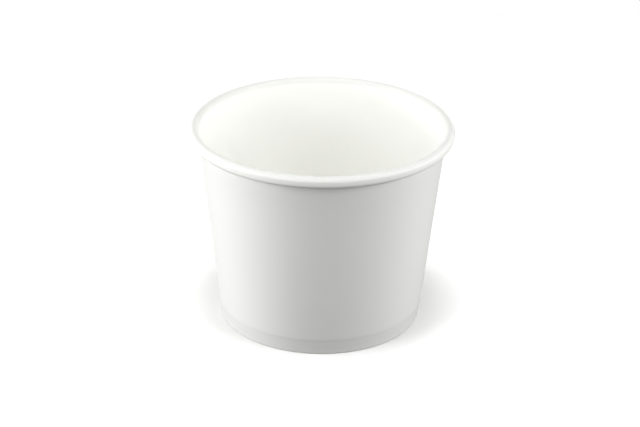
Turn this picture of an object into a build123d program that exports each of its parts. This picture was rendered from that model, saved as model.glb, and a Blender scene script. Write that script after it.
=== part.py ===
from build123d import *
import os
from math import acos, atan2, ceil, cos, degrees, hypot, radians, sin

# A paper sundae cup, in millimetres and degrees. +Z is up, the table is z = 0 and the cup's axis is Z.
# Two blanks of coated board make it. The side wall is one sheet: a cone, lapped and sealed down one side,
# rolled outwards into a bead at the rim and folded inwards into a hem at the base. The bottom is a disc
# with a turned-down skirt, which is sealed between the wall and the hem, so the floor is recessed.
# Each section is an outline in radius and height. The board's round stretches are drawn in short straight
# steps, which keeps the mesh of these large, thin rings light.

# Overall sizes
RIM_DIAMETER = 97.0  # outside the rolled rim
BASE_DIAMETER = 74.6  # outside the wall, at the table
HEIGHT = 75.2  # table to the top of the rolled rim

# Board
WALL_BOARD = 0.38
BOTTOM_BOARD = 0.32
ROUND_SAG = 0.105  # how far a straight step of a round stretch may pass inside the true round

# Rolled rim
BEAD_WIDTH = 3.5  # across the roll, from the wall's inner face to its outermost point
BEAD_SIDE = 0.95  # straight stretch down the outer side of the roll
CURL_GAP = 0.05  # between the turns of the roll
CURL_TUCK = 45.0  # degrees that the cut edge turns in under the crest

# Hem at the base
HEM_HEIGHT = 5.6  # table to the hem's cut edge
SEAL_GAP = 0.03  # each side of the skirt, where the coating melts and seals

# Bottom disc
HEM_TO_FLOOR = 0.5  # hem's cut edge up to the floor's underside
SKIRT_TO_FOLD = 0.25  # inside of the hem's fold up to the skirt's cut edge

# Side seam, where the outer end of the blank laps over the inner end
LAP_START = -5.0  # where the inner end's cut edge stands, around from +X, so that +X is mid-lap
LAP_WIDTH = 7.0
LAP_STEP = 0.34  # what the pressed lap adds to the wall, a little less than the board
LAP_RAMP = 2.6  # stretch over which the outer end climbs onto the inner one
LAP_BITE = 0.08  # how deep the lap is let into the face that it is sealed to
LAP_FADE = 2.0  # height over which the lap is pressed flat beside the roll and the fold
LAP_ON_BEAD = 0.12  # what the pressed lap adds to the roll

# The crest of the roll is a half turn about its centre, and the tuck is a tighter turn inside it.
base_radius = BASE_DIAMETER / 2
rim_radius = RIM_DIAMETER / 2
crest_radius = BEAD_WIDTH / 2
tuck_radius = crest_radius - WALL_BOARD - CURL_GAP
crest_centre = Vector(rim_radius - crest_radius, HEIGHT - crest_radius)

# The wall's outer face leans out from the base circle and meets the inside of the crest.
flare = crest_centre.X - base_radius
lean = acos((crest_radius - WALL_BOARD) / hypot(flare, crest_centre.Y)) - atan2(crest_centre.Y, flare)
along = Vector(sin(lean), cos(lean))
outward = Vector(cos(lean), -sin(lean))

# Directions in degrees in a section: out of the wall and into it, and the four quarters.
OUT = -degrees(lean)
IN = 180 + OUT
RIGHT = 0
UP = 90
DOWN = -90

# The underside of the roll comes back up to the wall inside the crest, so its own turn is a little tighter.
under_radius = (tuck_radius + crest_radius * cos(lean) + BEAD_SIDE * sin(lean)) / (1 + cos(lean))
under_centre = crest_centre + Vector(crest_radius - under_radius, -BEAD_SIDE)

# Depths inwards of the wall's outer face, past the skirt with a sealed gap on each side of it.
skirt_depth = WALL_BOARD + SEAL_GAP
hem_depth = skirt_depth + BOTTOM_BOARD + SEAL_GAP


def on_sheet(height, depth):
    """Point at a height on the line parallel to the wall's outer face, so deep inwards of it."""
    foot = Vector(base_radius, 0) - outward * depth
    return foot + along * ((height - foot.Y) / along.Y)


def turn(centre, radius, start, end):
    """Points along a round stretch about its centre, from one direction to another."""
    widest_step = 2 * degrees(acos(1 - ROUND_SAG / radius))
    steps = ceil(abs(end - start) / widest_step)
    directions = [radians(start + (end - start) * step / steps) for step in range(steps + 1)]
    return [centre + Vector(cos(direction), sin(direction)) * radius for direction in directions]


def turned(outline, arc=360):
    """Solid that a closed outline in radius and height makes as it turns about the axis."""
    return revolve(Plane.XZ * make_face(Polyline(*outline, close=True)), Axis.Z, arc)


def bead_front(depth):
    """The roll from its top round to its lowest point, so deep inside its outside face."""
    crest = turn(crest_centre, crest_radius - depth, UP, RIGHT)
    return crest + turn(under_centre, under_radius - depth, RIGHT, DOWN)


def roll(depth):
    """The whole roll from the wall to its cut edge, so deep inside its outside face."""
    rise_over = turn(crest_centre, crest_radius - depth, IN, UP)[:-1]
    under = turn(under_centre, under_radius - depth, DOWN, IN - 360)[1:]
    tuck = turn(crest_centre, tuck_radius - depth, IN, IN - CURL_TUCK)
    return rise_over + bead_front(depth) + under + tuck


def sheet_section():
    """Both faces of the side wall's sheet, from the hem's cut edge to the roll's and back."""
    wall_crease = on_sheet(WALL_BOARD, WALL_BOARD)
    hem_crease = on_sheet(WALL_BOARD, hem_depth)
    hem_edge = on_sheet(HEM_HEIGHT, hem_depth)
    fold = turn(hem_crease, WALL_BOARD, IN - 360, DOWN) + turn(wall_crease, WALL_BOARD, DOWN, OUT)
    near_face = [hem_edge, hem_crease, wall_crease] + roll(0)
    far_face = [hem_edge - outward * WALL_BOARD] + fold + roll(WALL_BOARD)
    return near_face + far_face[::-1]


def disc_section():
    """The bottom disc, from the middle of its underside out to the skirt and back."""
    bend = on_sheet(HEM_HEIGHT + HEM_TO_FLOOR, skirt_depth + BOTTOM_BOARD)
    skirt_edge = on_sheet(WALL_BOARD + SKIRT_TO_FOLD, skirt_depth + BOTTOM_BOARD)
    middle = Vector(0, bend.Y)
    underside = [middle, bend, skirt_edge, skirt_edge + outward * BOTTOM_BOARD]
    shoulder = turn(bend, BOTTOM_BOARD, OUT, UP)
    return underside + shoulder + [middle + Vector(0, BOTTOM_BOARD)]


def polar(radius, angle, height):
    """Point at a radius, an angle in degrees about the axis, and a height."""
    return Vector(radius * cos(radians(angle)), radius * sin(radians(angle)), height)


def level_curve(start_radius, end_radius, start, end, height):
    """Level curve about the axis between two angles, even in radius, so an arc where the radii are alike."""
    middle = polar((start_radius + end_radius) / 2, (start + end) / 2, height)
    return ThreePointArc(polar(start_radius, start, height), middle, polar(end_radius, end, height))


def lap_slice(height, depth, rise, bite):
    """Level slice of the outer end: its ramp, the lapped stretch, its cut edge and its seat in the sheet."""
    face = on_sheet(height, depth).X
    foot = LAP_START - degrees(LAP_RAMP / face)
    end = LAP_START + degrees(LAP_WIDTH / face)
    ramp = level_curve(face - bite, face + rise, foot, LAP_START, height)
    top = level_curve(face + rise, face + rise, LAP_START, end, height)
    seat = level_curve(face - bite, face - bite, end, foot, height)
    return make_face(ramp + top + Line(top @ 1, seat @ 0) + seat)


def hollow_slice(height, rise):
    """Level slice of the hollow under the ramp, closed by the inner end's cut edge."""
    face = on_sheet(height, WALL_BOARD).X
    foot = LAP_START - degrees(LAP_RAMP / face)
    mouth = level_curve(face - LAP_BITE, face - LAP_BITE, LAP_START, foot, height)
    ramp = level_curve(face - LAP_BITE, face + rise, foot, LAP_START, height)
    return make_face(mouth + ramp + Line(ramp @ 1, mouth @ 0))


def wall_lap():
    """Outer end of the blank, standing proud of the wall from the fold up into the roll."""
    pressed_flat = lap_slice(WALL_BOARD, 0, -LAP_BITE / 2, LAP_BITE)
    full = [lap_slice(height, 0, LAP_STEP, LAP_BITE) for height in (WALL_BOARD + LAP_FADE, under_centre.Y)]
    return loft([pressed_flat, *full], ruled=True)


def hem_lap():
    """The same end where it is folded in, standing proud of the hem towards the axis."""
    depth = hem_depth + WALL_BOARD
    pressed_flat = lap_slice(WALL_BOARD, depth, LAP_BITE / 2, -LAP_BITE)
    full = [lap_slice(height, depth, -LAP_STEP, -LAP_BITE) for height in (WALL_BOARD + LAP_FADE, HEM_HEIGHT)]
    return loft([pressed_flat, *full], ruled=True)


def lap_hollow():
    """What the outer end leaves open on the inside of the wall as it climbs onto the inner end."""
    low = WALL_BOARD
    high = under_centre.Y
    full = [hollow_slice(height, LAP_STEP) for height in (low + LAP_FADE, high - LAP_FADE)]
    return loft([hollow_slice(low, -LAP_BITE / 2), *full, hollow_slice(high, -LAP_BITE / 2)], ruled=True)


def bead_lap():
    """The pressed lap where it runs over the front of the roll."""
    proud = [point + Vector(LAP_ON_BEAD, 0) for point in bead_front(0)]
    return Rot(0, 0, LAP_START) * turned(proud + bead_front(LAP_BITE)[::-1], degrees(LAP_WIDTH / rim_radius))


def side_wall():
    """Wall, rolled rim, hem and side seam, from one blank."""
    return turned(sheet_section()) + wall_lap() + hem_lap() + bead_lap() - lap_hollow()


def bottom_disc():
    """Recessed floor and its skirt, from one blank."""
    return turned(disc_section())


def write_parts():
    """Writes each piece to its own file."""
    os.makedirs("parts", exist_ok=True)
    export_step(side_wall(), "parts/side_wall.step")
    export_step(bottom_disc(), "parts/bottom_disc.step")


write_parts()
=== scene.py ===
import logging
import math
from dataclasses import dataclass
from enum import IntEnum

import bpy
from mathutils import Matrix, Vector


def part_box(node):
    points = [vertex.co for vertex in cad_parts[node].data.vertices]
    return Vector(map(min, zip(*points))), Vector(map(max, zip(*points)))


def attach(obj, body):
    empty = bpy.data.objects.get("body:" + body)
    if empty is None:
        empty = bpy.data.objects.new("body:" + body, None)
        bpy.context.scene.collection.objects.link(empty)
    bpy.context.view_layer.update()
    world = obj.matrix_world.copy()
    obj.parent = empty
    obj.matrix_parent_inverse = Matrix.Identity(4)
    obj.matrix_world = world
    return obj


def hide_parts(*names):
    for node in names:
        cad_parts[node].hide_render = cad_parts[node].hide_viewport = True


# Looks of a plain white paper sundae cup, in metres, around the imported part. The part's two pieces are
# replaced by finely drawn ones: the side wall, one sheet of board that is rolled at the rim, folded at the
# base and lapped down one side, and the bottom disc. Each is a section, in radius and height, that a
# Geometry Nodes tree sweeps about the cup's axis.

MM = 0.001
HALF = 0.5  # tells whole numbers apart where a tree compares them
CREASE_ANGLE = 38.0  # degrees between two faces from which the edge between them is shaded as a crease
LOG = logging.getLogger("paper_cup")

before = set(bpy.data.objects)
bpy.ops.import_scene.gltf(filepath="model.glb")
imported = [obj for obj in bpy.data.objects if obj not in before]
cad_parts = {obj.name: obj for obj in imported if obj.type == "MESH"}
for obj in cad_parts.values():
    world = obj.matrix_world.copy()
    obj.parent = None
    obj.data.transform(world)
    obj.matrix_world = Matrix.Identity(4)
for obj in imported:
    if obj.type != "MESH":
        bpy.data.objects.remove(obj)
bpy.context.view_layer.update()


class Finish(IntEnum):
    """Which finish a strip of a section takes."""

    OUTER = 0
    INNER = 1
    CUT_EDGE = 2
    RIM = 3
    BOTTOM = 4


def smooth(value: float, start: float, end: float) -> float:
    """Eases from 0 at start to 1 at end.

    Args:
        value: Where to read the curve.
        start: Value up to which the result is 0.
        end: Value from which the result is 1.

    Returns:
        The eased share, from 0 to 1.
    """
    share = min(max((value - start) / (end - start), 0.0), 1.0)
    return share * share * (3 - 2 * share)


@dataclass(frozen=True)
class CupSizes:
    """Sizes of the cup, in metres and degrees; those that the frame shows are read from it."""

    rim_radius: float
    height: float
    floor_top: float
    base_radius: float = 37.3 * MM
    wall_board: float = 0.38 * MM
    bottom_board: float = 0.32 * MM
    bead_width: float = 3.5 * MM
    bead_side: float = 0.95 * MM
    curl_gap: float = 0.05 * MM
    curl_tuck: float = 66.0
    hem_height: float = 5.6 * MM
    seal_gap: float = 0.03 * MM
    skirt_to_fold: float = 0.25 * MM

    @classmethod
    def from_frame(cls) -> "CupSizes":
        """Reads the rim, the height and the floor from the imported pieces."""
        wall_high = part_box("side_wall")[1]
        return cls(rim_radius=wall_high.y, height=wall_high.z, floor_top=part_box("bottom_disc")[1].z)

    @property
    def crest_radius(self) -> float:
        """Outer radius of the roll's first turn."""
        return self.bead_width / 2

    @property
    def tuck_radius(self) -> float:
        """Outer radius of the turn that is tucked inside the first one."""
        return self.crest_radius - self.wall_board - self.curl_gap

    @property
    def crest_centre(self) -> Vector:
        """Centre of the roll's first turn."""
        return Vector((self.rim_radius - self.crest_radius, self.height - self.crest_radius))

    @property
    def lean(self) -> float:
        """Angle between the wall and the cup's axis.

        Returns:
            The angle in radians.
        """
        centre = self.crest_centre
        flare = centre.x - self.base_radius
        reach = math.acos((self.crest_radius - self.wall_board) / math.hypot(flare, centre.y))
        return reach - math.atan2(centre.y, flare)

    @property
    def along(self) -> Vector:
        """Direction up the wall in a section."""
        return Vector((math.sin(self.lean), math.cos(self.lean)))

    @property
    def outward(self) -> Vector:
        """Direction out of the wall in a section."""
        return Vector((math.cos(self.lean), -math.sin(self.lean)))

    @property
    def under_radius(self) -> float:
        """Outer radius of the roll's underside."""
        reach = self.crest_radius * math.cos(self.lean) + self.bead_side * math.sin(self.lean)
        return (self.tuck_radius + reach) / (1 + math.cos(self.lean))

    @property
    def under_centre(self) -> Vector:
        """Centre of the roll's underside."""
        return self.crest_centre + Vector((self.crest_radius - self.under_radius, -self.bead_side))

    @property
    def roll_bottom(self) -> float:
        """Height of the roll's lowest point."""
        return self.under_centre.y - self.under_radius

    @property
    def skirt_depth(self) -> float:
        """How deep inwards of the wall's outer face the skirt lies."""
        return self.wall_board + self.seal_gap

    @property
    def hem_depth(self) -> float:
        """How deep inwards of the wall's outer face the hem lies."""
        return self.skirt_depth + self.bottom_board + self.seal_gap

    def on_sheet(self, height: float, depth: float) -> Vector:
        """Finds a point on a line parallel to the wall's outer face.

        Args:
            height: Height above the table.
            depth: Distance inwards of the wall's outer face.

        Returns:
            The point's radius and height.
        """
        foot = Vector((self.base_radius, 0)) - self.outward * depth
        return foot + self.along * ((height - foot.y) / self.along.y)


@dataclass(frozen=True)
class SectionPoint:
    """A corner of a section.

    Attributes:
        place: Its radius and height.
        facing: Direction in which the pushes below move it.
        finish: Finish of the strip from here to the next corner.
        on_lap: How far it is pushed over the lap.
        past_lap: The same just past the lap's cut edge, from where it fades out.
        on_ramp: The same at the top of the ramp, where the sheet's outer end climbs onto the lap.
        mark: The same inside each mark of the hem, or at the crest of each gather of the disc.
    """

    place: Vector
    facing: Vector
    finish: Finish
    on_lap: float = 0.0
    past_lap: float = 0.0
    on_ramp: float = 0.0
    mark: float = 0.0


PUSHES = ("on_lap", "past_lap", "on_ramp", "mark")


def turn(centre: Vector, radius: float, start: float, end: float, step: float) -> list[tuple[Vector, Vector]]:
    """Lays points along a round stretch.

    Args:
        centre: Centre of the stretch.
        radius: Its radius.
        start: Direction of its first point, in degrees.
        end: Direction of its last point, in degrees.
        step: Degrees, at most, between two points.

    Returns:
        Each point with its direction from the centre.
    """
    steps = math.ceil(abs(end - start) / step)
    angles = [math.radians(start + (end - start) * number / steps) for number in range(steps + 1)]
    ways = [Vector((math.cos(angle), math.sin(angle))) for angle in angles]
    return [(centre + way * radius, way) for way in ways]


class TreeMaker:
    """Adds and joins the nodes of one Geometry Nodes tree that sweeps a section about the axis."""

    def __init__(self, name: str, closed: bool) -> None:
        """Starts the tree.

        Args:
            name: Name of the tree.
            closed: True where the section's last point joins its first.
        """
        self.tree = bpy.data.node_groups.new(name, "GeometryNodeTree")
        self.tree.interface.new_socket("Geometry", in_out="OUTPUT", socket_type="NodeSocketGeometry")
        self.entry = self.node("NodeGroupInput")
        self.exit = self.node("NodeGroupOutput")
        self.section = self.named_input("Geometry", "NodeSocketGeometry")
        counted = self.node("GeometryNodeAttributeDomainSize", {"Geometry": self.section})
        self.corners = counted.outputs["Point Count"]
        self.rows = self.math("ADD", self.corners, 1.0 if closed else 0.0)
        self.index = self.node("GeometryNodeInputIndex").outputs[0]

    def node(self, kind: str, inputs: dict[str, object] | None = None, **settings: object) -> bpy.types.Node:
        """Adds a node.

        Args:
            kind: Blender's name for the node.
            inputs: A value or an output for each input, by name.
            **settings: The node's own settings.

        Returns:
            The new node.
        """
        made = self.tree.nodes.new(kind)
        for name, value in settings.items():
            setattr(made, name, value)
        for name, value in (inputs or {}).items():
            self.feed(made.inputs[name], value)
        return made

    def feed(self, socket: bpy.types.NodeSocket, value: object) -> None:
        """Gives an input a value, or joins it to another node's output.

        Args:
            socket: The input.
            value: A plain value, or an output.
        """
        if isinstance(value, bpy.types.NodeSocket):
            self.tree.links.new(value, socket)
        else:
            socket.default_value = value

    def named_input(self, name: str, kind: str) -> bpy.types.NodeSocket:
        """Adds an input to the tree and returns the output that carries it."""
        self.tree.interface.new_socket(name, in_out="INPUT", socket_type=kind)
        return self.entry.outputs[name]

    def math(self, operation: str, *values: object) -> bpy.types.NodeSocket:
        """Adds a Math node.

        Args:
            operation: What the node does.
            *values: A number or an output for each of its inputs.

        Returns:
            The node's result.
        """
        made = self.node("ShaderNodeMath", operation=operation)
        for socket, value in zip(made.inputs, values):
            self.feed(socket, value)
        return made.outputs[0]

    def choose(self, test: object, if_true: object, if_false: object) -> bpy.types.NodeSocket:
        """Picks one of two numbers by a test that is 1 or 0."""
        inputs = {"Switch": test, "True": if_true, "False": if_false}
        return self.node("GeometryNodeSwitch", inputs, input_type="FLOAT").outputs[0]

    def share(self, value: object, start: object, length: object) -> bpy.types.NodeSocket:
        """Finds where a value stands along a stretch.

        Args:
            value: The value.
            start: Where the stretch starts.
            length: How long it is.

        Returns:
            The share, from 0 at the stretch's start to 1 at its end.
        """
        made = self.math("DIVIDE", self.math("SUBTRACT", value, start), length)
        made.node.use_clamp = True
        return made

    def eased(self, share: object) -> bpy.types.NodeSocket:
        """Eases a share from 0 to 1 at both ends."""
        return self.node("ShaderNodeMapRange", {"Value": share}, interpolation_type="SMOOTHSTEP").outputs[0]

    def row_and_column(self, rows: object) -> tuple[bpy.types.NodeSocket, bpy.types.NodeSocket]:
        """Splits the index of a grid's element into its row and its column.

        Args:
            rows: How many rows the grid has.

        Returns:
            The row and the column.
        """
        column = self.math("FLOOR", self.math("DIVIDE", self.math("ADD", self.index, HALF), rows))
        return self.math("SUBTRACT", self.index, self.math("MULTIPLY", column, rows)), column

    def from_section(self, kind: str, name: str | None, row: object) -> bpy.types.NodeSocket:
        """Reads the section at a row.

        Args:
            kind: Type of the value, in Blender's words.
            name: Name of the attribute, or None for the position.
            row: Row to read.

        Returns:
            The value at that row.
        """
        if name is None:
            value = self.node("GeometryNodeInputPosition").outputs[0]
        else:
            value = self.node("GeometryNodeInputNamedAttribute", {"Name": name}, data_type=kind).outputs[0]
        inputs = {"Geometry": self.section, "Value": value, "Index": row}
        return self.node("GeometryNodeSampleIndex", inputs, data_type=kind, domain="POINT").outputs[0]

    def split_at(self, name: str | None, row: object) -> bpy.types.bpy_prop_collection:
        """Reads a vector of the section at a row, as the outputs X, Y and Z."""
        vector = self.from_section("FLOAT_VECTOR", name, row)
        return self.node("ShaderNodeSeparateXYZ", {"Vector": vector}).outputs

    def sweep(self, columns: object, angle: object, push: object, corner: object, finish: object) -> None:
        """Finishes the tree: bends a grid round the axis, closes it and gives it its finishes.

        Args:
            columns: Columns of the grid, the last of which closes the ring.
            angle: Angle about the axis at each point.
            push: How far each point moves towards its facing.
            corner: Corner of the section that each point stands for.
            finish: Number of the finish of each face.
        """
        grid = self.node("GeometryNodeMeshGrid", {"Vertices X": columns, "Vertices Y": self.rows})
        place = self.split_at(None, corner)
        facing = self.split_at("facing", corner)
        radius = self.math("MULTIPLY_ADD", facing["X"], push, place["X"])
        height = self.math("MULTIPLY_ADD", facing["Z"], push, place["Z"])
        around = self.node("ShaderNodeCombineXYZ", {
            "X": self.math("MULTIPLY", radius, self.math("COSINE", angle)),
            "Y": self.math("MULTIPLY", radius, self.math("SINE", angle)),
            "Z": height,
        })
        inputs = {"Geometry": grid.outputs["Mesh"], "Position": around.outputs[0]}
        result = self.node("GeometryNodeSetPosition", inputs).outputs[0]
        inputs = {"Geometry": result, "Name": "finish", "Value": finish}
        marked = self.node("GeometryNodeStoreNamedAttribute", inputs, data_type="INT", domain="FACE")
        merge_distance = self.named_input("Merge Distance", "NodeSocketFloat")
        inputs = {"Geometry": marked.outputs[0], "Distance": merge_distance}
        result = self.node("GeometryNodeMergeByDistance", inputs).outputs[0]
        result = self.node("GeometryNodeSetShadeSmooth", {"Geometry": result}).outputs[0]
        result = self.node("GeometryNodeRealizeInstances", {"Geometry": result}).outputs[0]
        number = self.node("GeometryNodeInputNamedAttribute", {"Name": "finish"}, data_type="INT").outputs[0]
        for kind in Finish:
            chosen = self.math("COMPARE", number, float(kind), HALF)
            material = self.named_input(finish_input(kind), "NodeSocketMaterial")
            inputs = {"Geometry": result, "Selection": chosen, "Material": material}
            result = self.node("GeometryNodeSetMaterial", inputs).outputs[0]
        self.feed(self.exit.inputs[0], result)


def finish_input(kind: Finish) -> str:
    """Name of the tree's input for a finish."""
    return kind.name.replace("_", " ").title() + " Finish"


class LappedSheetTree(TreeMaker):
    """Sweeps the side wall's section once round, over its own inner end."""

    def __init__(self) -> None:
        """Builds the tree, whose columns run over the lap, round the free wall and up the ramp."""
        super().__init__("lapped_sheet", closed=True)
        lap_columns = self.named_input("Lap Columns", "NodeSocketInt")
        free_columns = self.named_input("Free Columns", "NodeSocketInt")
        ramp_columns = self.named_input("Ramp Columns", "NodeSocketInt")
        lap_start = self.named_input("Lap Start", "NodeSocketFloat")
        lap_width = self.named_input("Lap Width", "NodeSocketFloat")
        ramp_width = self.named_input("Ramp Width", "NodeSocketFloat")
        edge_width = self.named_input("Edge Width", "NodeSocketFloat")
        mark_columns = self.named_input("Mark Columns", "NodeSocketInt")
        mark_gap = self.named_input("Mark Gap", "NodeSocketInt")

        # Numbers of the columns where the free wall and the ramp start, and of the ramp's last one.
        free_from = self.math("ADD", lap_columns, 1.0)
        ramp_from = self.math("ADD", free_from, free_columns)
        last = self.math("ADD", ramp_from, ramp_columns)
        row, column = self.row_and_column(self.rows)
        corner = self.math("MODULO", row, self.corners)
        column = self.math("MODULO", column, self.math("ADD", last, 1.0))
        radius = self.split_at(None, corner)["X"]
        girth = self.math("MULTIPLY", radius, math.tau)

        # How far round the wall each column stands from the lap's start, as a length.
        past_edge = self.math("ADD", lap_width, edge_width)
        ramp_foot = self.math("SUBTRACT", girth, ramp_width)
        lap_length = self.math("SUBTRACT", lap_width, edge_width)
        free_length = self.math("SUBTRACT", ramp_foot, past_edge)
        over_lap = self.share(column, 0.0, lap_columns)
        over_free = self.share(column, free_from, free_columns)
        over_ramp = self.share(column, ramp_from, ramp_columns)
        lap_arc = self.math("MULTIPLY_ADD", over_lap, lap_length, edge_width)
        free_arc = self.math("MULTIPLY_ADD", over_free, free_length, past_edge)
        ramp_arc = self.math("MULTIPLY_ADD", over_ramp, ramp_width, ramp_foot)
        on_lap = self.math("LESS_THAN", column, self.math("ADD", lap_columns, HALF))
        on_ramp = self.math("GREATER_THAN", column, self.math("ADD", ramp_from, HALF))
        arc = self.choose(on_lap, lap_arc, self.choose(on_ramp, ramp_arc, free_arc))
        angle = self.math("ADD", lap_start, self.math("DIVIDE", arc, radius))

        # How far each stretch is pushed.
        fading = self.math("SUBTRACT", 1.0, self.eased(self.share(free_arc, lap_width, ramp_width)))
        faded = self.math("MULTIPLY", self.from_section("FLOAT", "past_lap", corner), fading)
        in_repeat = self.math("MODULO", self.math("SUBTRACT", column, free_from), mark_columns)
        in_mark = self.math("GREATER_THAN", in_repeat, self.math("SUBTRACT", mark_gap, HALF))
        free_push = self.math("MULTIPLY_ADD", self.from_section("FLOAT", "mark", corner), in_mark, faded)
        ramp_rise = self.from_section("FLOAT", "on_ramp", corner)
        ramp_push = self.math("MULTIPLY", ramp_rise, self.eased(over_ramp))
        lap_push = self.from_section("FLOAT", "on_lap", corner)
        push = self.choose(on_lap, lap_push, self.choose(on_ramp, ramp_push, free_push))

        # The two narrow strips that close the sheet's ends at the lap are raw board.
        face_row, face_column = self.row_and_column(self.corners)
        own_finish = self.from_section("INT", "finish", face_row)
        at_outer_edge = self.math("COMPARE", face_column, lap_columns, HALF)
        at_inner_edge = self.math("COMPARE", face_column, last, HALF)
        at_edge = self.math("MAXIMUM", at_outer_edge, at_inner_edge)
        finish = self.choose(at_edge, float(Finish.CUT_EDGE), own_finish)
        self.sweep(self.math("ADD", last, 2.0), angle, push, corner, finish)


class TurnedDiscTree(TreeMaker):
    """Sweeps the bottom disc's section evenly round the axis."""

    def __init__(self) -> None:
        """Builds the tree, with fine gathers where the disc is drawn down into its skirt."""
        super().__init__("turned_disc", closed=False)
        columns = self.named_input("Columns", "NodeSocketInt")
        gathers = self.named_input("Gathers", "NodeSocketInt")
        corner, column = self.row_and_column(self.rows)
        turned = self.math("DIVIDE", self.math("MODULO", column, columns), columns)
        angle = self.math("MULTIPLY", turned, math.tau)
        wave = self.math("SINE", self.math("MULTIPLY", angle, gathers))
        push = self.math("MULTIPLY", self.from_section("FLOAT", "mark", corner), wave)
        face_row, _ = self.row_and_column(self.math("SUBTRACT", self.rows, 1.0))
        finish = self.from_section("INT", "finish", face_row)
        self.sweep(self.math("ADD", columns, 1.0), angle, push, corner, finish)


def section_object(name: str, points: list[SectionPoint], closed: bool) -> bpy.types.Object:
    """Makes the chain of edges that a tree sweeps.

    Args:
        name: Name of the piece.
        points: Corners of the section, in order.
        closed: True where the last corner joins the first.

    Returns:
        The chain, in the plane of X and Z.
    """
    mesh = bpy.data.meshes.new(name + "_section")
    count = len(points)
    edges = [(number, (number + 1) % count) for number in range(count if closed else count - 1)]
    mesh.from_pydata([(point.place.x, 0, point.place.y) for point in points], edges, [])
    facings = [value for point in points for value in (point.facing.x, 0, point.facing.y)]
    numbers = [int(point.finish) for point in points]
    mesh.attributes.new("facing", "FLOAT_VECTOR", "POINT").data.foreach_set("vector", facings)
    mesh.attributes.new("finish", "INT", "POINT").data.foreach_set("value", numbers)
    for push in PUSHES:
        values = [getattr(point, push) for point in points]
        mesh.attributes.new(push, "FLOAT", "POINT").data.foreach_set("value", values)
    chain = bpy.data.objects.new(name + "_section", mesh)
    bpy.context.scene.collection.objects.link(chain)
    return chain


def swept_piece(
    name: str, chain: bpy.types.Object, maker: TreeMaker, inputs: dict[str, object]
) -> bpy.types.Object:
    """Runs a tree on a section and keeps the result as a plain mesh.

    Args:
        name: Name of the piece.
        chain: The section.
        maker: The tree.
        inputs: A value for each of the tree's named inputs.

    Returns:
        The finished piece, at the origin.
    """
    modifier = chain.modifiers.new("sweep", "NODES")
    modifier.node_group = maker.tree
    items = maker.tree.interface.items_tree
    sockets = {item.name: item.identifier for item in items if item.in_out == "INPUT"}
    for label, value in inputs.items():
        modifier[sockets[label]] = value
    evaluated = chain.evaluated_get(bpy.context.evaluated_depsgraph_get())
    mesh = bpy.data.meshes.new_from_object(evaluated)
    bpy.data.objects.remove(chain)
    mesh.name = name
    for spare in [layer.name for layer in mesh.attributes if layer.name in ("finish", "facing")]:
        mesh.attributes.remove(mesh.attributes[spare])
    mesh.set_sharp_from_angle(angle=math.radians(CREASE_ANGLE))
    piece = bpy.data.objects.new(name, mesh)
    bpy.context.scene.collection.objects.link(piece)
    return piece


PATCH_DETAIL = 4.0  # finer layers in the noise of the board's patches
FIBRE_DETAIL = 3.0  # and in that of its fibres
RIM_TOP = 75.2 * MM  # height at which the painted shade on the rolled rim is deepest


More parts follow.
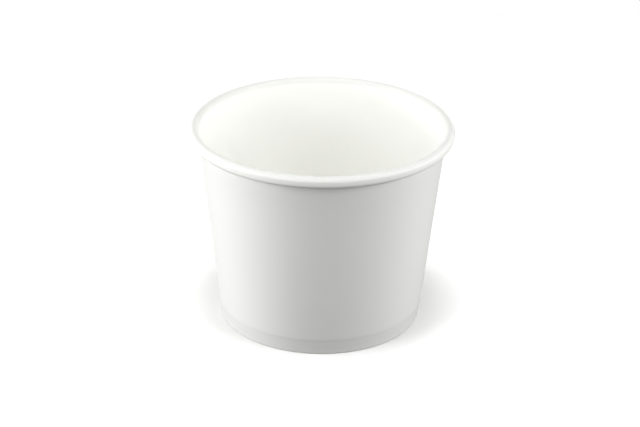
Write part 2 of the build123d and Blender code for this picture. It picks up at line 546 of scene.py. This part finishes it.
@dataclass(frozen=True)
class BoardFinish:
    """White board: how bright, how glossy and how even it is, and the painted shade on it.

    Attributes:
        name: Name of the material.
        colour: The board's colour.
        patch_colour: Colour of the soft patches in it.
        roughness: Roughness midway between patch and board.
        roughness_spread: How far the patches change it, up and down.
        fibre_depth: Depth of the fibres.
        gloss: Specular level.
        fibre_size: Size of a fibre's blotch.
        patch_size: Size of a patch.
        shade: Share of the colour's brightness that is left where the painted shade is deepest.
        shaded_at: Height where the painted shade is deepest.
        clear_at: Height where the painted shade has faded out.
    """

    name: str
    colour: tuple[float, float, float]
    patch_colour: tuple[float, float, float]
    roughness: float
    roughness_spread: float
    fibre_depth: float
    gloss: float = 0.45
    fibre_size: float = 0.35 * MM
    patch_size: float = 9.0 * MM
    shade: float = 1.0
    shaded_at: float = 0.0
    clear_at: float = 0.0

    def material(self) -> bpy.types.Material:
        """Builds the material.

        Returns:
            Board with soft patches in its colour and gloss, and fibres in its surface.
        """
        made = bpy.data.materials.new(self.name)
        made.use_nodes = True
        nodes, links = made.node_tree.nodes, made.node_tree.links
        shader = nodes["Principled BSDF"]
        shader.inputs["Specular IOR Level"].default_value = self.gloss
        place = nodes.new("ShaderNodeTexCoord").outputs["Object"]

        patches = self.noise(made.node_tree, place, self.patch_size, PATCH_DETAIL)
        colour = nodes.new("ShaderNodeMix")
        colour.data_type = "RGBA"
        colour.inputs["A"].default_value = (*self.colour, 1)
        colour.inputs["B"].default_value = (*self.patch_colour, 1)
        links.new(patches, colour.inputs["Factor"])
        links.new(self.shaded(made.node_tree, place, colour.outputs["Result"]), shader.inputs["Base Color"])

        dullness = nodes.new("ShaderNodeMapRange")
        dullness.inputs["To Min"].default_value = self.roughness - self.roughness_spread
        dullness.inputs["To Max"].default_value = self.roughness + self.roughness_spread
        links.new(patches, dullness.inputs["Value"])
        links.new(dullness.outputs["Result"], shader.inputs["Roughness"])

        fibres = self.noise(made.node_tree, place, self.fibre_size, FIBRE_DETAIL)
        bump = nodes.new("ShaderNodeBump")
        bump.inputs["Strength"].default_value = 1.0
        bump.inputs["Distance"].default_value = self.fibre_depth
        links.new(fibres, bump.inputs["Height"])
        links.new(bump.outputs["Normal"], shader.inputs["Normal"])
        return made

    def noise(
        self, tree: bpy.types.NodeTree, place: bpy.types.NodeSocket, size: float, detail: float
    ) -> bpy.types.NodeSocket:
        """Adds a noise of a real size.

        Args:
            tree: The material's tree.
            place: Coordinates in metres.
            size: Size of a blotch.
            detail: How many finer layers the noise has.

        Returns:
            The noise, from about 0 to 1.
        """
        made = tree.nodes.new("ShaderNodeTexNoise")
        made.inputs["Scale"].default_value = 1 / size
        made.inputs["Detail"].default_value = detail
        tree.links.new(place, made.inputs["Vector"])
        return made.outputs["Fac"]

    def shaded(
        self, tree: bpy.types.NodeTree, place: bpy.types.NodeSocket, colour: bpy.types.NodeSocket
    ) -> bpy.types.NodeSocket:
        """Paints shade on the board, darkening it softly towards one height.

        Args:
            tree: The material's tree.
            place: Coordinates in metres.
            colour: The board's colour.

        Returns:
            The colour with the painted shade, or as it came where the finish has none.
        """
        if self.shade == 1:
            return colour
        height = tree.nodes.new("ShaderNodeSeparateXYZ")
        band = tree.nodes.new("ShaderNodeMapRange")
        band.interpolation_type = "SMOOTHSTEP"
        band.inputs["From Min"].default_value = self.shaded_at
        band.inputs["From Max"].default_value = self.clear_at
        band.inputs["To Min"].default_value = self.shade
        mixed = tree.nodes.new("ShaderNodeVectorMath")
        mixed.operation = "SCALE"
        tree.links.new(place, height.inputs["Vector"])
        tree.links.new(height.outputs["Z"], band.inputs["Value"])
        tree.links.new(colour, mixed.inputs["Vector"])
        tree.links.new(band.outputs["Result"], mixed.inputs["Scale"])
        return mixed.outputs["Vector"]


BOARDS = {
    Finish.OUTER: BoardFinish(
        name="outer_board",
        colour=(0.905, 0.911, 0.888),
        patch_colour=(0.89, 0.896, 0.872),
        roughness=0.55,
        roughness_spread=0.06,
        fibre_depth=0.012 * MM,
        # painted shade: the board darkens over the hem's band, where less light comes through the wall
        shade=0.94,
        shaded_at=5.0 * MM,
        clear_at=6.6 * MM,
    ),
    Finish.INNER: BoardFinish(
        name="inner_board",
        colour=(0.93, 0.932, 0.903),
        patch_colour=(0.92, 0.922, 0.893),
        roughness=0.55,
        roughness_spread=0.05,
        fibre_depth=0.008 * MM,
        gloss=0.3,
        # painted shade: the inner face darkens towards the top of the roll
        shade=0.65,
        shaded_at=RIM_TOP,
        clear_at=72.6 * MM,
    ),
    Finish.CUT_EDGE: BoardFinish(
        name="cut_board",
        colour=(0.82, 0.805, 0.77),
        patch_colour=(0.77, 0.75, 0.71),
        roughness=0.85,
        roughness_spread=0.05,
        fibre_depth=0.03 * MM,
        fibre_size=0.12 * MM,
    ),
    Finish.RIM: BoardFinish(
        name="rim_board",
        colour=(0.915, 0.918, 0.892),
        patch_colour=(0.9, 0.903, 0.877),
        roughness=0.6,
        roughness_spread=0.05,
        fibre_depth=0.008 * MM,
        gloss=0.3,
        # painted shade: the rim darkens towards the top of the roll
        shade=0.655,
        shaded_at=RIM_TOP,
        clear_at=73.3 * MM,
    ),
    Finish.BOTTOM: BoardFinish(
        name="bottom_board",
        colour=(0.74, 0.74, 0.717),
        patch_colour=(0.725, 0.725, 0.703),
        roughness=0.6,
        roughness_spread=0.05,
        fibre_depth=0.012 * MM,
        gloss=0.3,
    ),
}


def finishes() -> dict[str, bpy.types.Material]:
    """Materials for the trees' finish inputs, made once and shared by both pieces."""
    return {finish_input(kind): board.material() for kind, board in BOARDS.items()}


@dataclass
class SideWall:
    """The side wall: one sheet with a rolled rim, a folded hem and a lapped side seam.

    Lengths are in metres and angles in degrees, but the rows are heights in millimetres.

    Attributes:
        sizes: Sizes of the cup.
        materials: Materials for the tree's finish inputs.
        lap_start: Where the lap starts, around from +X.
        lap_width: Width of the lap.
        lap_step: How far the lap stands out of the sheet.
        ramp_width: Stretch over which the outer end climbs onto the lap.
        edge_width: Stretch round the wall that each cut edge at the lap takes up.
        flat_below: Height below which the fold is pressed flat, without lap or crimp.
        lap_full_from: Height from which the lap stands out in full.
        lap_fade: Height above the roll's lowest point over which the lap is pressed flat again.
        hollow_fade: Height below the centre of the roll's underside over which the ramp's hollow closes.
        bead_bulge: What the pressed lap adds to the roll.
        bulge_full_from: How much the roll faces outwards, up to 1, where it adds that in full.
        crimp_depth: Depth of the band that presses the wall onto the skirt and the hem.
        crimp_full_from: Height from which the band is at its full depth.
        crimp_full_to: Height up to which it is.
        crimp_top: Height of its upper end.
        mark_depth: Depth of the crimping tool's marks on the hem.
        mark_low: Height of their lower end.
        mark_high: Height of their upper end.
        mark_slope: Height of the slope at either end.
        mark_columns: Columns from one mark to the next.
        mark_gap: Columns of these that lie between two marks.
        turn_step: Degrees, at most, between two corners of the roll.
        fold_step: The same in the fold and the tuck.
        low_rows: Lowest rows of the outer face, above the table.
        even_from: Height where the evenly spaced rows start.
        row_height: Height, at most, between two of them.
        last_rows: Last rows of the outer face, above the roll's lowest point.
        inner_top_rows: Top rows of the inner face, below the centre of the roll's underside.
        inner_low_rows: Lowest rows of the inner face, above the table.
        lap_columns: Columns of the lap.
        free_columns: Columns of the wall past the lap, up to the ramp.
        ramp_columns: Columns of the ramp.
    """

    sizes: CupSizes
    materials: dict[str, bpy.types.Material]
    lap_start: float = -5.0
    lap_width: float = 7.0 * MM
    lap_step: float = 0.34 * MM
    ramp_width: float = 2.6 * MM
    edge_width: float = 0.01 * MM
    flat_below: float = 0.4 * MM
    lap_full_from: float = 2.4 * MM
    lap_fade: float = 0.8 * MM
    hollow_fade: float = 2.0 * MM
    bead_bulge: float = 0.12 * MM
    bulge_full_from: float = 0.5
    crimp_depth: float = 0.07 * MM
    crimp_full_from: float = 1.4 * MM
    crimp_full_to: float = 5.1 * MM
    crimp_top: float = 6.3 * MM
    mark_depth: float = 0.07 * MM
    mark_low: float = 1.2 * MM
    mark_high: float = 4.7 * MM
    mark_slope: float = 0.15 * MM
    mark_columns: int = 4
    mark_gap: int = 2
    turn_step: float = 9.0
    fold_step: float = 15.0
    low_rows: tuple[float, ...] = (0.9, 1.5, 2.0, 2.6, 4.2, 5.1, 5.3, 5.5, 5.7, 5.9, 6.1, 6.3)
    even_from: float = 7.0 * MM
    row_height: float = 8.0 * MM
    last_rows: tuple[float, ...] = (0.2, 0.4, 0.6, 0.8)
    inner_top_rows: tuple[float, ...] = (0.0, 0.5, 1.0, 1.5)
    inner_low_rows: tuple[float, ...] = (6.5, 2.4, 1.4)
    lap_columns: int = 10
    free_columns: int = 480
    ramp_columns: int = 8

    def build(self) -> bpy.types.Object:
        """Makes the piece from its section.

        Returns:
            The side wall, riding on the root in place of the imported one.
        """
        chain = section_object("side_wall_board", self.section(), closed=True)
        inputs = {
            "Lap Columns": self.lap_columns,
            "Free Columns": self.free_columns,
            "Ramp Columns": self.ramp_columns,
            "Lap Start": math.radians(self.lap_start),
            "Lap Width": self.lap_width,
            "Ramp Width": self.ramp_width,
            "Edge Width": self.edge_width,
            "Mark Columns": self.mark_columns,
            "Mark Gap": self.mark_gap,
            "Merge Distance": self.edge_width / 10,
        }
        piece = swept_piece("side_wall_board", chain, LappedSheetTree(), inputs | self.materials)
        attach(piece, "root")
        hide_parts("side_wall")
        return piece

    def section(self) -> list[SectionPoint]:
        """Both faces of the sheet, up the outer one from the hem's cut edge and back down the inner one."""
        return self.outer_hem() + self.outer_wall() + self.roll(Finish.OUTER) + self.inner_side()

    def lap_push(self, height: float) -> float:
        """How far the lap stands out of the sheet: pressed flat at the fold and under the roll.

        Args:
            height: Height above the table.

        Returns:
            The distance.
        """
        roll_bottom = self.sizes.roll_bottom
        past_fold = smooth(height, self.flat_below, self.lap_full_from)
        under_roll = smooth(height, roll_bottom, roll_bottom + self.lap_fade)
        return self.lap_step * (past_fold * (1 - under_roll))

    def even_rows(self) -> list[float]:
        """Evenly spaced rows, from above the crimp up to the roll's lowest point.

        Returns:
            Their heights, in metres.
        """
        stretch = self.sizes.roll_bottom - self.even_from
        rows = math.ceil(stretch / self.row_height)
        return [self.even_from + stretch * row / rows for row in range(rows + 1)]

    def outer_hem(self) -> list[SectionPoint]:
        """The hem's face towards the axis, from its cut edge down, and the fold round to the wall.

        Returns:
            Their corners, in order from the cut edge.
        """
        sizes = self.sizes
        depth = sizes.hem_depth + sizes.wall_board
        low, high = self.mark_low, self.mark_high
        points = []
        for height in (sizes.hem_height, high + self.mark_slope, high, low, low - self.mark_slope):
            push = self.lap_push(height)
            mark = -self.mark_depth if low <= height <= high else 0.0
            place, inward = sizes.on_sheet(height, depth), -sizes.outward
            points.append(SectionPoint(place, inward, Finish.OUTER, on_lap=push, on_ramp=push, mark=mark))
        lean = math.degrees(sizes.lean)
        hem_crease = sizes.on_sheet(sizes.wall_board, sizes.hem_depth)
        wall_crease = sizes.on_sheet(sizes.wall_board, sizes.wall_board)
        fold = turn(hem_crease, sizes.wall_board, -180 - lean, -90, self.fold_step)
        fold += turn(wall_crease, sizes.wall_board, -90, -lean, self.fold_step)
        return points + [SectionPoint(place, way, Finish.OUTER) for place, way in fold]

    def outer_wall(self) -> list[SectionPoint]:
        """The wall's outer face, from the fold up under the roll.

        Returns:
            Its corners, in order from the fold.
        """
        sizes = self.sizes
        low = [step * MM for step in self.low_rows]
        last = [sizes.roll_bottom + step * MM for step in self.last_rows]
        points = []
        for height in low + self.even_rows() + last:
            push = self.lap_push(height)
            pressed = smooth(height, self.flat_below, self.crimp_full_from)
            crimp = self.crimp_depth * pressed * (1 - smooth(height, self.crimp_full_to, self.crimp_top))
            place = sizes.on_sheet(height, crimp)
            points.append(SectionPoint(place, sizes.outward, Finish.OUTER, on_lap=push, on_ramp=push))
        return points

    def roll(self, finish: Finish) -> list[SectionPoint]:
        """One face of the roll, from the wall to its cut edge.

        The half of the crest that faces the axis keeps the inner finish.

        Args:
            finish: The face: rim is the one that shows, and outer is the one inside the roll.

        Returns:
            Its corners, in order from the wall.
        """
        sizes = self.sizes
        shows = finish is Finish.RIM
        depth = 0.0 if shows else sizes.wall_board
        lean = math.degrees(sizes.lean)
        crest = turn(sizes.crest_centre, sizes.crest_radius - depth, 180 - lean, 0, self.turn_step)
        under = turn(sizes.under_centre, sizes.under_radius - depth, 0, -180 - lean, self.turn_step)
        tucked_to = 180 - lean - sizes.curl_tuck
        tuck = turn(sizes.crest_centre, sizes.tuck_radius - depth, 180 - lean, tucked_to, self.fold_step)
        points = []
        for place, way in crest + under + tuck:
            bulge = self.bead_bulge * smooth(way.x, 0.0, self.bulge_full_from) if shows else 0.0
            own = Finish.INNER if shows and way.x < 0 and way.y > 0 else finish
            points.append(SectionPoint(place, way, own, on_lap=bulge, past_lap=bulge))
        return points

    def inner_side(self) -> list[SectionPoint]:
        """The sheet's inner face, from the roll's cut edge back down the wall and up the slot to the hem's.

        Returns:
            Its corners, in order from the roll's cut edge.
        """
        sizes = self.sizes
        under = sizes.under_centre.y
        top = [under - step * MM for step in self.inner_top_rows]
        low = [step * MM for step in self.inner_low_rows]
        points = self.roll(Finish.RIM)[::-1]
        for height in top + self.even_rows()[::-1] + low:
            past_fold = smooth(height, self.flat_below, self.lap_full_from)
            shown = past_fold * (1 - smooth(height, under - self.hollow_fade, under))
            place = sizes.on_sheet(height, sizes.wall_board)
            points.append(SectionPoint(place, sizes.outward, Finish.INNER, on_ramp=self.lap_step * shown))
        wall_crease = sizes.on_sheet(sizes.wall_board, sizes.wall_board)
        hem_crease = sizes.on_sheet(sizes.wall_board, sizes.hem_depth)
        hem_edge = sizes.on_sheet(sizes.hem_height, sizes.hem_depth)
        return points + [
            SectionPoint(wall_crease, -sizes.outward, Finish.INNER),
            SectionPoint(hem_crease, -sizes.outward, Finish.INNER),
            SectionPoint(hem_edge, -sizes.outward, Finish.CUT_EDGE),
        ]


@dataclass
class BottomDisc:
    """The bottom: a recessed floor whose turned-down skirt is sealed between the wall and the hem."""

    sizes: CupSizes
    materials: dict[str, bpy.types.Material]
    dip: float = 0.2 * MM
    gather: float = 0.012 * MM
    gathers: int = 60
    columns: int = 360
    rings: int = 12
    shoulder_step: float = 12.0
    merge_distance: float = 0.001 * MM

    def build(self) -> bpy.types.Object:
        """Makes the piece from its section.

        Returns:
            The bottom disc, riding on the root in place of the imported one.
        """
        chain = section_object("bottom_disc_board", self.section(), closed=False)
        inputs = {"Columns": self.columns, "Gathers": self.gathers, "Merge Distance": self.merge_distance}
        piece = swept_piece("bottom_disc_board", chain, TurnedDiscTree(), inputs | self.materials)
        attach(piece, "root")
        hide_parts("bottom_disc")
        return piece

    def section(self) -> list[SectionPoint]:
        """From the middle of the underside out over the skirt's inside and back over the floor's top.

        Returns:
            The section's corners, in that order.
        """
        sizes = self.sizes
        underside = sizes.floor_top - sizes.bottom_board
        inside_depth = sizes.skirt_depth + sizes.bottom_board
        bend = sizes.on_sheet(underside, inside_depth)
        edge = sizes.on_sheet(sizes.wall_board + sizes.skirt_to_fold, inside_depth)
        skirt = [
            SectionPoint(bend, -sizes.outward, Finish.BOTTOM),
            SectionPoint(edge, -sizes.outward, Finish.CUT_EDGE),
            SectionPoint(edge + sizes.outward * sizes.bottom_board, sizes.outward, Finish.BOTTOM),
        ]
        shoulder = turn(bend, sizes.bottom_board, -math.degrees(sizes.lean), 90, self.shoulder_step)
        over = [SectionPoint(place, way, Finish.BOTTOM, mark=self.gather * way.y) for place, way in shoulder]
        below = self.floor_face(underside, bend.x, Vector((0, -1)))
        above = self.floor_face(sizes.floor_top, bend.x, Vector((0, 1)))
        return below + skirt + over + above[::-1]

    def floor_face(self, height: float, edge: float, facing: Vector) -> list[SectionPoint]:
        """One face of the floor, which dips a little towards its middle.

        Args:
            height: Height of the face at its edge.
            edge: Radius of its edge.
            facing: Direction out of the board.

        Returns:
            Its corners, from the middle out to just inside the edge.
        """
        radii = [edge * ring / self.rings for ring in range(self.rings)]
        heights = [height - self.dip * (1 - smooth(radius, 0.0, edge)) for radius in radii]
        return [SectionPoint(Vector(place), facing, Finish.BOTTOM) for place in zip(radii, heights)]


@dataclass(frozen=True)
class Softbox:
    """A plain white rectangular studio light that points at the cup.

    Attributes:
        name: Name of the light.
        azimuth: Degrees round from the front, positive to the right.
        elevation: Degrees above the table.
        distance: Distance from the cup.
        width: Width of the light.
        height: Height of the light.
        watts: Its power.
    """

    name: str
    azimuth: float
    elevation: float
    distance: float
    width: float
    height: float
    watts: float

    def place(self, target: Vector) -> None:
        """Adds the light.

        Args:
            target: The point that it faces.
        """
        light = bpy.data.lights.new(self.name, "AREA")
        light.shape = "RECTANGLE"
        light.size, light.size_y = self.width, self.height
        light.energy = self.watts
        around, up = math.radians(self.azimuth), math.radians(self.elevation)
        back = Vector((math.sin(around) * math.cos(up), -math.cos(around) * math.cos(up), math.sin(up)))
        lamp = bpy.data.objects.new(self.name, light)
        lamp.location = target + back * self.distance
        lamp.rotation_euler = (-back).to_track_quat("-Z", "Y").to_euler()
        bpy.context.scene.collection.objects.link(lamp)


LIGHTS = (
    Softbox("left_low_softbox", -55, 8, 0.8, 0.4, 0.4, 1.1),
    Softbox("left_side_softbox", -90, 5, 0.8, 0.4, 0.2, 3.9),
    Softbox("left_front_softbox", -60, 25, 0.8, 0.4, 0.4, 2.25),
    Softbox("right_low_softbox", 70, 5, 0.8, 0.4, 0.2, 1.2),
    Softbox("right_side_softbox", 95, 8, 0.8, 0.4, 0.4, 1.85),
    Softbox("right_front_softbox", 60, 25, 0.8, 0.4, 0.4, 2.45),
    Softbox("top_softbox", 0, 88, 0.9, 0.3, 0.3, 5.4),
    Softbox("left_top_softbox", -40, 70, 0.9, 0.3, 0.3, 1.0),
    Softbox("right_top_softbox", 40, 70, 0.9, 0.3, 0.3, 0.7),
    Softbox("back_softbox", 180, 4, 0.8, 0.6, 0.12, 2.1),
)


@dataclass(frozen=True)
class Studio:
    """A plain white floor, soft lights and the camera of the photograph.

    The camera stands in front of the cup, raised by its pitch. From facing the middle of the base it is
    turned and rolled a little. Lengths are in metres and angles in degrees, but the lens and the sensor
    are in millimetres.
    """

    lights: tuple[Softbox, ...] = LIGHTS
    ambient: float = 0.107
    ambient_colour: tuple[float, float, float] = (0.99, 1.0, 0.96)
    white: tuple[float, float, float] = (1.0, 1.0, 1.0)
    floor_radius: float = 0.34
    floor_step: float = 6.0
    floor_roughness: float = 0.9
    lens: float = 112.56
    sensor_width: float = 36.0
    nearest: float = 0.05
    farthest: float = 50.0
    camera_distance: float = 0.7636
    pitch: float = 28.12
    turned_right: float = -0.025
    turned_up: float = 2.64
    roll: float = 0.745

    def build(self, cup: CupSizes) -> None:
        """Lays the floor and sets the lights and the camera up.

        Args:
            cup: Sizes of the cup, which the lights face.
        """
        self.lay_floor()
        self.set_world()
        for light in self.lights:
            light.place(Vector((0, 0, cup.height / 2)))
        self.set_camera()
        bpy.context.scene.view_settings.view_transform = "Standard"

    def lay_floor(self) -> None:
        """Adds a round floor.

        As in the photograph, it takes the cup's shadow and throws no light back onto the cup.
        """
        corners = turn(Vector((0, 0)), self.floor_radius, 0, 360, self.floor_step)[:-1]
        mesh = bpy.data.meshes.new("studio_floor")
        mesh.from_pydata([(place.x, place.y, 0) for place, _ in corners], [], [range(len(corners))])
        material = bpy.data.materials.new("studio_floor")
        material.use_nodes = True
        shader = material.node_tree.nodes["Principled BSDF"]
        shader.inputs["Base Color"].default_value = (*self.white, 1)
        shader.inputs["Roughness"].default_value = self.floor_roughness
        shader.inputs["Specular IOR Level"].default_value = 0.0
        mesh.materials.append(material)
        floor = bpy.data.objects.new("studio_floor", mesh)
        bpy.context.scene.collection.objects.link(floor)
        floor.visible_diffuse = False
        floor.visible_glossy = False

    def set_world(self) -> None:
        """Gives the room an even, faint light, and a white backdrop that lights nothing."""
        world = bpy.data.worlds.new("studio_world")
        world.use_nodes = True
        nodes, links = world.node_tree.nodes, world.node_tree.links
        room = nodes["Background"]
        room.inputs["Color"].default_value = (*self.ambient_colour, 1)
        room.inputs["Strength"].default_value = self.ambient
        backdrop = nodes.new("ShaderNodeBackground")
        backdrop.inputs["Color"].default_value = (*self.white, 1)
        choice = nodes.new("ShaderNodeMixShader")
        links.new(nodes.new("ShaderNodeLightPath").outputs["Is Camera Ray"], choice.inputs[0])
        links.new(room.outputs[0], choice.inputs[1])
        links.new(backdrop.outputs[0], choice.inputs[2])
        links.new(choice.outputs[0], nodes["World Output"].inputs["Surface"])
        bpy.context.scene.world = world

    def set_camera(self) -> None:
        """Adds the camera where the photograph was taken from."""
        camera = bpy.data.cameras.new("camera")
        camera.lens = self.lens
        camera.sensor_width = self.sensor_width
        camera.clip_start, camera.clip_end = self.nearest, self.farthest
        holder = bpy.data.objects.new("camera", camera)
        pitch = math.radians(self.pitch)
        away = Vector((0, -math.cos(pitch), math.sin(pitch))) * self.camera_distance
        facing = Matrix.Rotation(math.pi / 2 - pitch, 4, "X")
        facing = facing @ Matrix.Rotation(-math.radians(self.turned_right), 4, "Y")
        facing = facing @ Matrix.Rotation(math.radians(self.turned_up), 4, "X")
        facing = facing @ Matrix.Rotation(math.radians(self.roll), 4, "Z")
        holder.matrix_world = Matrix.Translation(away) @ facing
        bpy.context.scene.collection.objects.link(holder)
        bpy.context.scene.camera = holder


def main() -> None:
    """Builds the cup and its studio, and reports each piece."""
    logging.basicConfig(level=logging.INFO, format="%(name)s: %(message)s")
    sizes = CupSizes.from_frame()
    materials = finishes()
    for part in (SideWall(sizes, materials), BottomDisc(sizes, materials)):
        piece = part.build()
        corners, faces = len(piece.data.vertices), len(piece.data.polygons)
        LOG.info("%s has %d corners and %d faces", piece.name, corners, faces)
    studio = Studio()
    studio.build(sizes)
    LOG.info("studio has %d lights", len(studio.lights))


if __name__ == "__main__":
    main()
